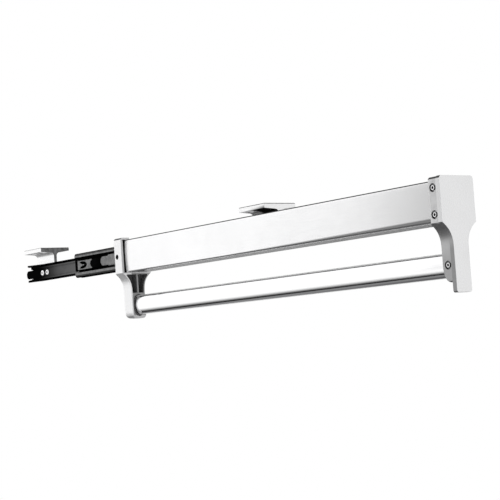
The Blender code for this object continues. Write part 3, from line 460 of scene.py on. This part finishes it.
# dark of the painted shade along rounded upper edges
EDGE_SHADE_DARK = grey(0.03)
FINISHES = {
    "beam": finish(
        "beam_anodised", shades(0.92, 0.95), 1.0, (0.22, 0.27), 2.5, (0.018, 0.008), ALONG,
        # painted shade: the beam darkens towards its front end, and a dark reflection is painted
        # as a band along its lower rounding
        fades=[
            (grey(0.74), (0, 1, 0), -0.13, -0.27),
            (grey(0.25), (0, 0.01, 1), -0.0418, -0.0434),
        ],
        tarnish=EDGE_SHADE_DARK, band=(0.35, 0.6),
    ),
    # painted shade: a dark, unlit line on the beam's upper rounding
    "beam_shade_line": finish(
        "beam_top_shade_line", shades(0.04, 0.07), 0.0, (0.5, 0.6), 2.5, (0.05, 0.02), ALONG,
        specular=0.0,
    ),
    # painted shade: a darker copy of the beam's finish for its underside
    "beam_under_shade": finish(
        "beam_underside_shade", shades(0.72, 0.76), 1.0, (0.22, 0.28), 2.5, (0.03, 0.01), ALONG,
    ),
    "rod": finish(
        "rod_polished", shades(0.94, 0.97), 1.0, (0.08, 0.12), 2.5, (0.03, 0.02), ALONG,
    ),
    # painted light: a duller, half-metallic copy of the rod's finish, so that its topside reads
    # light
    "rod_top_light": finish(
        "rod_topside_light", shades(0.84, 0.88), 0.45, (0.3, 0.4), 2.5, (0.03, 0.02), ALONG,
    ),
    "plate": finish(
        "plate_satin", shades(0.88, 0.91), 1.0, (0.25, 0.31), 3.0, (0.02, 0.008), UPRIGHT,
        wear=grey(0.6), tarnish=grey(0.15),
    ),
    # painted shade: a dark, unlit line on the front plate's top rounding and far front edge
    "plate_shade_line": finish(
        "plate_top_shade_line", shades(0.1, 0.14), 0.0, (0.5, 0.6), 3.0, (0.05, 0.02),
        specular=0.0,
    ),
    # the plate's edges: a little darker and rougher than its face, with painted shade that
    # darkens them towards the bottom
    "plate_edge": finish(
        "plate_edge", shades(0.78, 0.84), 1.0, (0.34, 0.42), 3.0, (0.05, 0.02), UPRIGHT,
        fades=[(grey(0.34), (0, 0, 1), -0.045, -0.068)], belly=grey(0.38), tarnish=EDGE_SHADE_DARK,
    ),
    # painted shade: the front cap's casting is a darker copy of the rear cap's, and darkens
    # further towards the bottom
    "front_cast": finish(
        "cast_satin_front", shades(0.6, 0.7), 1.0, (0.34, 0.42), 1.6, (0.1, 0.05),
        patch=0.15,
        fades=[(grey(0.44), (0, 0, 1), -0.05, -0.08)], belly=grey(0.36), tarnish=EDGE_SHADE_DARK,
    ),
    # the rear cap's casting, with painted shade that darkens its foot towards the bottom
    "rear_cast": finish(
        "cast_satin_rear", shades(0.96, 0.99), 0.75, (0.36, 0.42), 1.6, (0.06, 0.03),
        fades=[(grey(0.55), (0, 0, 1), -0.0855, -0.09)], wear=OUTLINE, tarnish=EDGE_SHADE_DARK,
    ),
    # painted shade for the rear cap's front face and lower insides, fading to painted light on a
    # strip along its near side
    "shade": finish(
        "cast_shaded", shades(0.26, 0.38), 0.9, (0.4, 0.55), 1.6, (0.12, 0.05),
        fades=[(grey(0.96), (-1, 0, 0), 0.01, 0.0108)],
    ),
    # painted shade, paler, for the front face of the rear cap's head
    "rim": finish("cast_rim_shade", shades(0.64, 0.74), 0.9, (0.4, 0.55), 1.6, (0.12, 0.05)),
    # painted shade, dark, for the rear cap's pockets
    "pocket": finish(
        "cast_pocket_shade", shades(0.09, 0.15), 0.0, (0.6, 0.8), 1.2, (0.3, 0.1), specular=0.0,
    ),
    # painted shade, near black, in hollows: counterbores, screw sockets and rims, the gap beside
    # the beam and the rear cap's head inside
    "hollow_shade": finish(
        "cast_hollow_shade", shades(0.01, 0.03), 0.0, (0.6, 0.8), 1.2, (0.3, 0.1), specular=0.0,
    ),
    "bracket": finish(
        "bracket_anodised", shades(0.9, 0.93), 1.0, (0.24, 0.32), 2.5, (0.05, 0.02), ALONG,
        wear=OUTLINE, tarnish=EDGE_SHADE_DARK,
    ),
    # the front bracket's near side, with painted shade that darkens it towards its lower front
    # edge
    "bracket_side": finish(
        "bracket_side", shades(0.92, 0.95), 1.0, (0.24, 0.32), 2.5, (0.05, 0.02), ALONG,
        fades=[(grey(0.12), (0, -0.1, -1), 0.0028, 0.0068)], wear=OUTLINE, tarnish=EDGE_SHADE_DARK,
    ),
    "under": finish(
        "bracket_under", shades(0.85, 0.92), 1.0, (0.55, 0.65), 2.5, (0.05, 0.02), ALONG,
    ),
    # painted shadow in the brackets' holes and under the front bracket, paling to painted light
    # towards the back
    "shadow": finish(
        "bracket_shadow", shades(0.01, 0.02), 0.0, (0.5, 0.7), 1.5, (0.2, 0.05),
        fades=[(grey(0.95), (0, 1, 0), 0.001, 0.007)], specular=0.0,
    ),
    # painted shade for the rear bracket's front end and the rear cap's screw head, with fine
    # lines in its relief
    "sawn": finish(
        "bracket_sawn", shades(0.1, 0.2), 0.9, (0.4, 0.55), 1.5, (0.2, 0.05), (1, 1, 0.1),
        patch=0.3,
    ),
    # the fixed rail's black zinc, with painted shade that darkens it to black towards its rear
    # end
    "black_zinc": finish(
        "rail_black", shades(0.14, 0.19), 0.0, (0.35, 0.45), 1.2, (0.06, 0.03),
        fades=[(grey(0.003), (0, 1, 0), 0.37, 0.447)], specular=0.0,
    ),
    # painted shade, black, on rails, channels and the stop plate
    "black_shade": finish(
        "rail_black_shade", shades(0.001, 0.004), 0.0, (0.5, 0.7), 1.2, (0.06, 0.03), specular=0.0,
    ),
    "bright_zinc": finish(
        "rail_zinc", shades(0.13, 0.22), 1.0, (0.26, 0.42), 0.9, (0.08, 0.03),
        patch=0.25, wear=grey(0.05),
    ),
    # painted shade: a darker copy of the zinc for the channels' bends
    "shaded_zinc": finish(
        "rail_zinc_shaded", shades(0.02, 0.045), 1.0, (0.4, 0.5), 0.9, (0.08, 0.03), patch=0.25,
    ),
    "bright_steel": finish(
        "screw_steel", shades(0.88, 0.96), 1.0, (0.06, 0.12), 4.0, (0.03, 0.01),
    ),
    "cage_polymer": finish(
        "cage_moulded", shades(0.03, 0.05), 0.0, (0.45, 0.6), 2.0, (0.1, 0.03),
    ),
    "black_rubber": finish(
        "bumper_rubber", shades(0.002, 0.006), 0.0, (0.6, 0.8), 2.0, (0.2, 0.05),
        specular=0.0,
    ),
}


def solid(node):
    """The node's shape as clean welded faces."""
    source = NODES[node].data
    shape = bmesh.new()
    verts = [shape.verts.new(v.co) for v in source.vertices]
    for polygon in source.polygons:
        shape.faces.new([verts[i] for i in polygon.vertices])
    bmesh.ops.remove_doubles(shape, verts=shape.verts, dist=WELD)
    bmesh.ops.dissolve_limit(
        shape, angle_limit=FLAT_ANGLE, verts=shape.verts, edges=shape.edges
    )
    bmesh.ops.recalc_face_normals(shape, faces=shape.faces)
    return shape


def ease(shape, width, keep=None, only=None):
    """Rounds the sharp edges, all or only some, and marks the rounded faces for wear."""
    edges = [e for e in shape.edges if e.is_manifold and e.calc_face_angle() > SHARP_ANGLE]
    if keep:
        edges = [e for e in edges if not all(keep(v.co) for v in e.verts)]
    if only:
        edges = [e for e in edges if all(only(v.co) for v in e.verts)]
    made = bmesh.ops.bevel(
        shape,
        geom=edges,
        offset=width,
        segments=ROUND_SEGMENTS if only else EDGE_SEGMENTS,
        profile=ROUND_PROFILE,
        affect="EDGES",
        clamp_overlap=not only,
    )
    edge = shape.loops.layers.float.get("edge") or shape.loops.layers.float.new("edge")
    for face in made["faces"]:
        for loop in face.loops:
            loop[edge] = 1.0


def cut_level(shape, axis, place):
    """Splits a shape's faces along a plane across one axis."""
    normal = Vector((0, 0, 0))
    normal[axis] = 1
    parts = shape.verts[:] + shape.edges[:] + shape.faces[:]
    bmesh.ops.bisect_plane(
        shape, geom=parts, plane_co=normal * place, plane_no=normal, dist=WELD
    )


def settle(shape, name):
    """A piece with smooth, area-weighted shading."""
    bmesh.ops.dissolve_degenerate(shape, dist=WELD, edges=shape.edges)
    mesh = bpy.data.meshes.new(name)
    shape.to_mesh(mesh)
    shape.free()
    mesh.shade_smooth()
    mesh.set_sharp_from_angle(angle=SHADE_ANGLE)
    piece = bpy.data.objects.new(name, mesh)
    bpy.context.scene.collection.objects.link(piece)
    weighted = piece.modifiers.new("weighted", "WEIGHTED_NORMAL")
    weighted.keep_sharp = True
    graph = bpy.context.evaluated_depsgraph_get()
    final = bpy.data.meshes.new_from_object(piece.evaluated_get(graph))
    piece.modifiers.clear()
    piece.data = final
    return piece


def outer_side(node):
    """Where the outer faces of a channel's lips lie."""
    low, high = BOXES[node]
    return low.x if node.startswith("near") else high.x


def in_bore(at):
    """Whether a place lies in the counterbore of a side screw."""
    for name in SIDE_SCREWS:
        middle, high = MIDDLES[name], BOXES[name][1]
        reach = math.hypot(at.y - middle.y, at.z - middle.z)
        if reach < SCREW_BORE and at.x < high.x + BORE_FLOOR:
            return True
    return False


def rear_levels():
    """Heights that part the rear cap's head from its leg and the leg from its foot."""
    return BOXES["beam"][0].z - REAR_HEAD, BOXES["hanging_rod"][0].z - REAR_FOOT


def upper_back(node):
    """Which places lie on the upper outline of a cap's back."""
    low, high = BOXES[node]
    middle, half = MIDDLES[node].x, (high.x - low.x) / 2
    floor = BOXES["beam"][0].z - CAP_SHOULDER

    def chosen(at):
        outer = abs(at.x - middle) > half - CAP_CORNER or at.z > high.z - CAP_CORNER
        return at.y > high.y - SNUG and outer and at.z > floor

    return chosen


def kept_sharp(node):
    """Which places keep their sharp edges: the front plate's seam and the counterbores."""
    low, high = BOXES[node]
    if node == "front_plate":
        return lambda at: at.y > high.y - SNUG
    if node == "front_cap":
        return lambda at: at.y < low.y + SNUG or in_bore(at)
    if node == "rear_cap":
        return in_bore
    return None


def emboss_lips(shape, node):
    """Presses a raised line along both lips of a channel, and makes the lower lip taller."""
    middle, outer = MIDDLES[node], outer_side(node)
    for sign in (-1, 1):
        for level in LIP_LEVELS:
            cut_level(shape, Z_AXIS, middle.z + sign * level)
    for vert in shape.verts:
        depth = abs(vert.co.x - outer)
        level = abs(vert.co.z - middle.z)
        if depth < TOUCH and LIP_LEVELS[1] - WELD < level < LIP_LEVELS[2] + WELD:
            vert.co.x += math.copysign(LIP_RISE, outer - middle.x)
        if depth < LIP_DEPTH and abs(middle.z - vert.co.z - LIP_EDGE) < SNUG:
            vert.co.z += LIP_GROWTH


def thicken_prongs(shape):
    """Makes the prongs at the fixed rail's rear end a little thicker."""
    low, high = BOXES["fixed_rail"]
    cut_level(shape, Y_AXIS, high.y - PRONG_FLARE)
    for vert in shape.verts:
        if vert.co.y > high.y - PRONG_REACH:
            depth = min(vert.co.z - low.z, high.z - vert.co.z)
            outer = depth < PRONG_OUTER
            if vert.co.z > high.z - PRONG_DEPTH and outer:
                vert.co.z += PRONG_RISE
            elif vert.co.z < low.z + PRONG_DEPTH:
                vert.co.z += PRONG_LIFT[0] if outer else PRONG_LIFT[1]


def slice_rail(shape):
    """Splits the fixed rail along the borders of its pale field."""
    for sign in (-1, 1):
        cut_level(shape, Z_AXIS, MIDDLES["fixed_rail"].z + sign * RAIL_WEB)


def narrow_head(shape, node):
    """Trims a side screw's head, so that the shadow round it shows."""
    middle = MIDDLES[node]
    whole = REAR_SCREW_SHARE if node == "rear_cap_screw" else 1.0
    for vert in shape.verts:
        out = Vector((0, vert.co.y - middle.y, vert.co.z - middle.z))
        share = whole if out.length < SCREW_SOCKET else whole * HEAD_SHARE
        vert.co += out * (share - 1)


def crown_beam(shape):
    """Swells the beam's flat walls a little, as an extrusion's are."""
    low, high = BOXES["beam"]
    middle, half = MIDDLES["beam"], (high - low) / 2
    for level in range(1, BEAM_LEVELS):
        cut_level(shape, Z_AXIS, low.z + (high.z - low.z) * level / BEAM_LEVELS)
    for vert in shape.verts:
        out = vert.co.x - middle.x
        if abs(out) > half.x - TOUCH:
            height = (vert.co.z - middle.z) / half.z
            vert.co.x += math.copysign(BEAM_CROWN * (1 - height * height), out)
        if vert.co.z < low.z + BEAM_SKIN:
            vert.co.z -= BEAM_SAG
        elif vert.co.z > high.z - BEAM_SKIN:
            vert.co.z += BEAM_RISE


def widen_bores(shape):
    """Opens the counterbores of the side screws a little, or less for the smaller screw."""
    for name in SIDE_SCREWS:
        middle, high = MIDDLES[name], BOXES[name][1]
        share = BORE_SHARE * REAR_SCREW_SHARE if name == "rear_cap_screw" else BORE_SHARE
        for vert in shape.verts:
            out = Vector((0, vert.co.y - middle.y, vert.co.z - middle.z))
            if SCREW_BORE - BORE_WALL < out.length < SCREW_BORE and vert.co.x < high.x:
                vert.co += out * (share - 1)


def trim_rebate(shape):
    """Narrows the shadow gap beside the beam, and parts the rear cap's face at its levels."""
    front = BOXES["rear_cap"][0].y
    low, high = BOXES["beam"]
    half = (high.x - low.x) / 2
    for vert in shape.verts:
        out = vert.co.x - MIDDLES["beam"].x
        beside = half + REBATE_SPAN[0] < abs(out) < half + REBATE_SPAN[1]
        upright = low.z - REBATE_BELOW < vert.co.z < high.z + REBATE_ABOVE
        if beside and upright and vert.co.y < front + REBATE_DEPTH:
            vert.co.x -= math.copysign(REBATE_TRIM, out)
    for level in rear_levels():
        cut_level(shape, Z_AXIS, level)


def drop_edge(shape, node):
    """Lowers a bracket's near lower edge."""
    low, high = BOXES[node]
    for vert in shape.verts:
        near = vert.co.x < low.x + EDGE_REACH
        if near and high.z - EDGE_SPAN[0] < vert.co.z < high.z - EDGE_SPAN[1]:
            vert.co.z -= EDGE_DROP


def extend_stop(shape):
    """Gives the stop plate the end that is painted black as shade, and its C-shaped slot its
    proportions.
    """
    back = BOXES["slide_stop_plate"][1].y
    middle = MIDDLES["slide_stop_plate"]
    cut_level(shape, Y_AXIS, back - STOP_END)
    for vert in shape.verts:
        out = vert.co - middle
        if vert.co.y > back - STOP_TIP:
            vert.co.y += STOP_REACH
            vert.co.z = middle.z + out.z * STOP_SPREAD
        elif abs(out.y) < SLOT_ZONE[0] and abs(out.z) < SLOT_ZONE[1]:
            reach = math.hypot((out.y - SLOT_CENTRE) / TONGUE_OVAL, out.z)
            share = TONGUE_SHARE if reach < TONGUE_REACH else 1.0
            vert.co.y = middle.y + SLOT_SHIFT + out.y * SLOT_SHARES[0] * share
            vert.co.z = middle.z + out.z * SLOT_SHARES[1] * share


def close_seam(shape):
    """Brings the front plate's back onto its cap, and its top up a little."""
    back, top = BOXES["front_plate"][1].yz
    for vert in shape.verts:
        if vert.co.y > back - TOUCH:
            vert.co.y += SEAM
        if vert.co.z > top - PLATE_TOP:
            vert.co.z += PLATE_RISE


def coat_screw(node, normal, verts):
    """Painted black shade in the socket of a bright head and on a side screw's rim; the rear
    cap's screw gets a head painted dark as shade.
    """
    spread = [v - MIDDLES[node] for v in verts]
    if node.startswith("plate_screw"):
        radius = max(math.hypot(v.x, v.z) for v in spread)
    else:
        radius = max(math.hypot(v.y, v.z) for v in spread)
    if radius < SCREW_SOCKET or node in SIDE_SCREWS and abs(normal.x) < SCREW_RIM:
        return "hollow_shade"
    return "sawn" if node == "rear_cap_screw" else "bright_steel"


def coat_front_plate(normal):
    """Satin faces and edges, with a dark line of painted shade along the top and the far edge."""
    far = normal.x > PLATE_FAR and normal.y < -PLATE_FAR
    if FACING < normal.z < LEVEL or far:
        return "plate_shade_line"
    return "plate" if abs(normal.y) > FACING else "plate_edge"


def coat_rear_cap(at, normal):
    """Pale casting with painted shade on its front face, lighter on the head and none on the
    foot, and painted shade in its insides, near black in the head.
    """
    low, high = BOXES["rear_cap"]
    head, foot = rear_levels()
    if at.y < low.y + REAR_FACE and normal.y < -FACING:
        if at.z < foot:
            return "rear_cast"
        return "rim" if at.z > head else "shade"
    aside = at.x - MIDDLES["rear_cap"].x
    inward = aside * normal.x < 0 or abs(aside) < REAR_CORE
    deep = low.y < at.y < high.y - REAR_BACK
    if deep and (inward or normal.y < -FACING) and at.z > low.z + REAR_SOLE:
        if at.z > head:
            return "hollow_shade"
        return "pocket" if at.z > BOXES["hanging_rod"][1].z + REAR_POCKET else "shade"
    return "rear_cast"


def coat_bracket(node, at, normal):
    """Bright bracket with painted shadow in its holes and under the front bracket, painted shade
    on the front bracket's near side and on the rear bracket's front end, and a rougher underside
    on the rear bracket.
    """
    low, high = BOXES[node]
    inset = min(at.x - low.x, high.x - at.x, at.y - low.y, high.y - at.y)
    in_plate = at.z > high.z - BRACKET_PLATE
    hole = inset > BRACKET_HOLE and abs(normal.z) < SQUARE and in_plate
    below = normal.z < -TILT
    if node == "front_bracket":
        if hole or below:
            return "shadow"
        return "bracket_side" if normal.x < -BRACKET_SIDE else "bracket"
    if hole:
        return "shadow"
    if below:
        return "under"
    return "sawn" if normal.y < -SQUARE else "bracket"


def coat_channel(node, at, normal):
    """Zinc on the lips' outer faces, and black painted as shade elsewhere but for a line of
    darker zinc, painted shade too, on the bends.
    """
    if abs(at.x - outer_side(node)) < LIP_FACE and abs(normal.z) < TILT:
        return "bright_zinc"
    inner = abs(at.z - MIDDLES[node].z) < CHANNEL_BEND
    if inner or normal.z > FACING or normal.z < -CHANNEL_BELOW:
        return "black_shade"
    return "shaded_zinc" if abs(normal.z) > TILT else "black_shade"


def coat_fixed_rail(at):
    level = abs(at.z - MIDDLES["fixed_rail"].z)
    return "black_zinc" if level < RAIL_WEB else "black_shade"


def coat_moving_rail(at):
    level = abs(at.z - MIDDLES["moving_rail"].z)
    return "bright_zinc" if level < RAIL_FIELD else "black_shade"


# the stop plate's edges and end are painted black as shade
def coat_stop(at, normal):
    dark = abs(normal.x) < FACING or at.y > BOXES["slide_stop_plate"][1].y - STOP_END
    return "black_shade" if dark else "bright_zinc"


def coat_of(node, coat, polygon, mesh):
    """The finish of one face."""
    at, normal = polygon.center, polygon.normal
    verts = [mesh.vertices[i].co for i in polygon.vertices]
    if "screw" in node:
        return coat_screw(node, normal, verts)
    if node == "front_plate":
        return coat_front_plate(normal)
    # the side screws' counterbores are painted black as shade
    if node.endswith("cap") and all(in_bore(v) for v in verts):
        return "hollow_shade"
    if node == "rear_cap":
        return coat_rear_cap(at, normal)
    if node.endswith("bracket"):
        return coat_bracket(node, at, normal)
    if node.endswith("channel"):
        return coat_channel(node, at, normal)
    if node == "fixed_rail":
        return coat_fixed_rail(at)
    if node == "moving_rail":
        return coat_moving_rail(at)
    if node == "slide_stop_plate":
        return coat_stop(at, normal)
    # the beam's upper rounding is painted as a dark line of shade
    if node == "beam" and BEAM_LINE < normal.z < LEVEL:
        return "beam_shade_line"
    # the beam's underside is painted a little darker as shade
    if node == "beam" and normal.z < -BEAM_BELOW:
        return "beam_under_shade"
    # the rod's topside gets a duller copy of its finish as painted light
    if node == "hanging_rod" and normal.z > ROD_TOP:
        return "rod_top_light"
    return coat


def paint(piece, node, coat):
    """Gives each face its finish."""
    mesh = piece.data
    mesh.materials.clear()
    names = []
    for polygon in mesh.polygons:
        name = coat_of(node, coat, polygon, mesh)
        if name not in names:
            names.append(name)
            mesh.materials.append(FINISHES[name])
        polygon.material_index = names.index(name)


def prepare(shape, node):
    """Small departures from the CAD shape that its rounded edges follow."""
    if node.endswith("channel"):
        emboss_lips(shape, node)
    if node == "fixed_rail":
        thicken_prongs(shape)
        slice_rail(shape)
    if node in SIDE_SCREWS:
        narrow_head(shape, node)


def round_edges(shape, node, width):
    """The large roundings of the caps, plate and brackets first, and then the other edges."""
    keep = kept_sharp(node)
    if node.endswith("cap"):
        ease(shape, CAP_ROUND, keep, upper_back(node))
    if node in TOP_ROUNDS:
        top = BOXES[node][1].z - SNUG
        ease(shape, TOP_ROUNDS[node] * MM, keep, lambda at: at.z > top)
    if width:
        ease(shape, width * MM, keep)


def adjust(shape, node):
    """Small departures from the CAD shape that are made with the edges rounded."""
    if node == "beam":
        crown_beam(shape)
    if node.endswith("cap"):
        widen_bores(shape)
    if node == "rear_cap":
        trim_rebate(shape)
    if node.endswith("bracket"):
        drop_edge(shape, node)
    if node == "slide_stop_plate":
        extend_stop(shape)
    if node == "front_plate":
        close_seam(shape)


def dress(node, body, coat, width):
    """Puts a finished piece in place of a node."""
    shape = solid(node)
    prepare(shape, node)
    round_edges(shape, node, width)
    adjust(shape, node)
    piece = settle(shape, node + "_finished")
    paint(piece, node, coat)
    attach(piece, body)
    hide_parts(node)


def dress_all():
    """Every node in its finish."""
    for body, names in BODIES.items():
        for node in names:
            plain = ("bright_steel", 0.0 if "ball" in node else PLAIN_ROUND)
            coat, width = SPECIAL.get(node, plain)
            dress(node, body, coat, width)


aim_camera()
build_world()
build_floor()
dress_all()
bpy.context.scene.view_settings.view_transform = "Standard"
